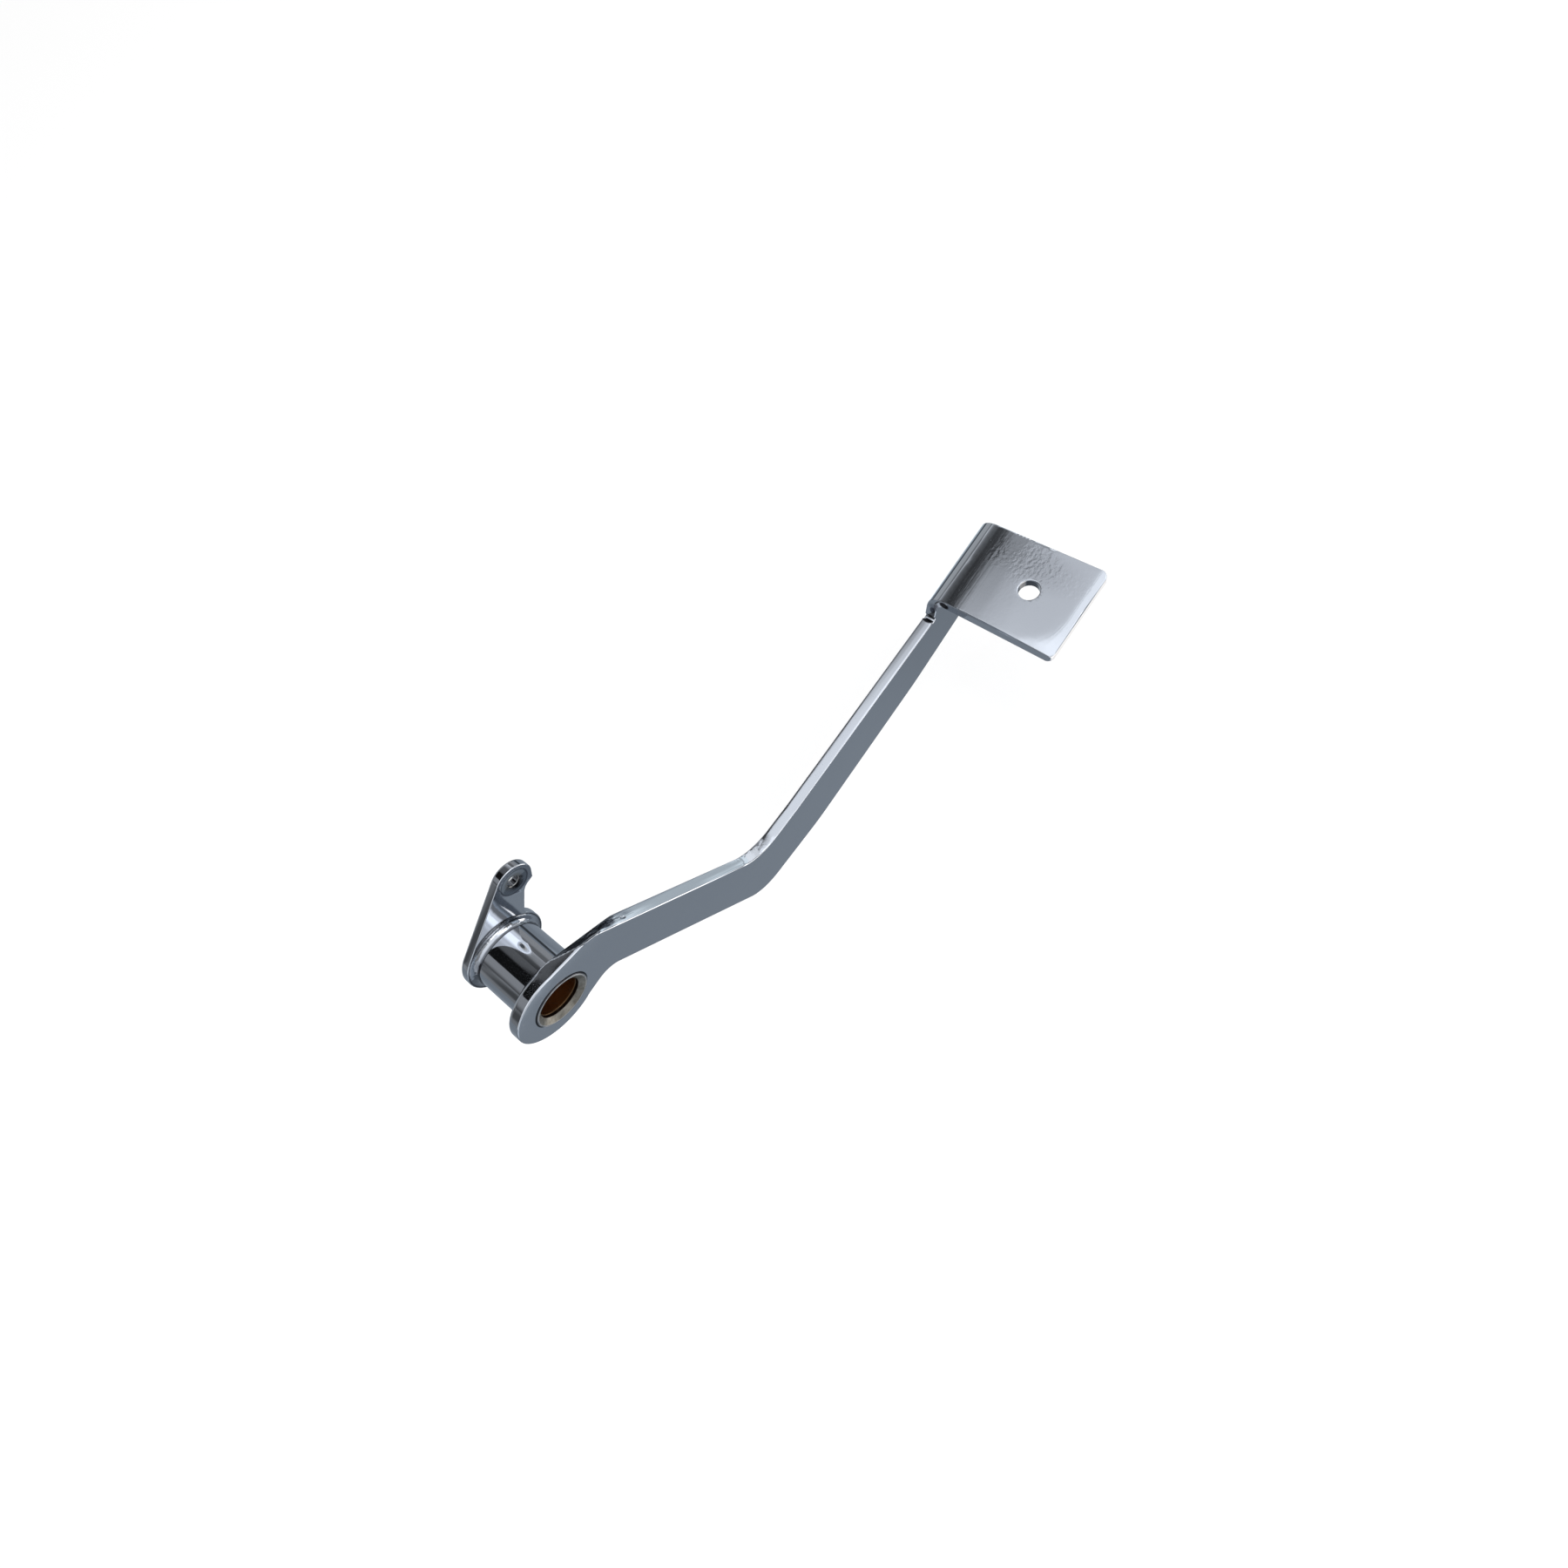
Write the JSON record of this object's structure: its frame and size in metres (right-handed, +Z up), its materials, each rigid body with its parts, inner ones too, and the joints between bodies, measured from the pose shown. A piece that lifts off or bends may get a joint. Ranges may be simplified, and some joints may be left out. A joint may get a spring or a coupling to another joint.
{
  "type": "rear brake pedal",
  "caption": "Cranked flat-plate brake pedal with a level foot plate, a bushed pivot tube and a short push rod lever.",
  "frame": {"origin": "on the pivot axis, halfway along the hub", "axes": "+Y along the pivot axis, inboard; -Y is outboard, where the foot plate is; +X forward; +Z up, square to the foot plate"},
  "size_m": [0.3363, 0.1091, 0.1782],
  "materials": {
    "arm_chrome": "polished chrome plate with fine ripple, pits and belt-ground edges",
    "tube_chrome": "polished chrome plate with faint turning rings",
    "lever_chrome": "polished chrome plate with scratched edges",
    "weld_chrome": "chrome plate over a smooth weld bead",
    "bronze": "sintered bronze, darkened by oil in the bore"
  },
  "bodies": {
    "root": {"pedal_arm": "arm_chrome", "pivot_tube": "tube_chrome", "push_rod_lever": "lever_chrome", "outer_bushing": "bronze", "inner_bushing": "bronze", "arm_weld": "weld_chrome", "lever_weld": "weld_chrome"}
  },
  "joints": []
}
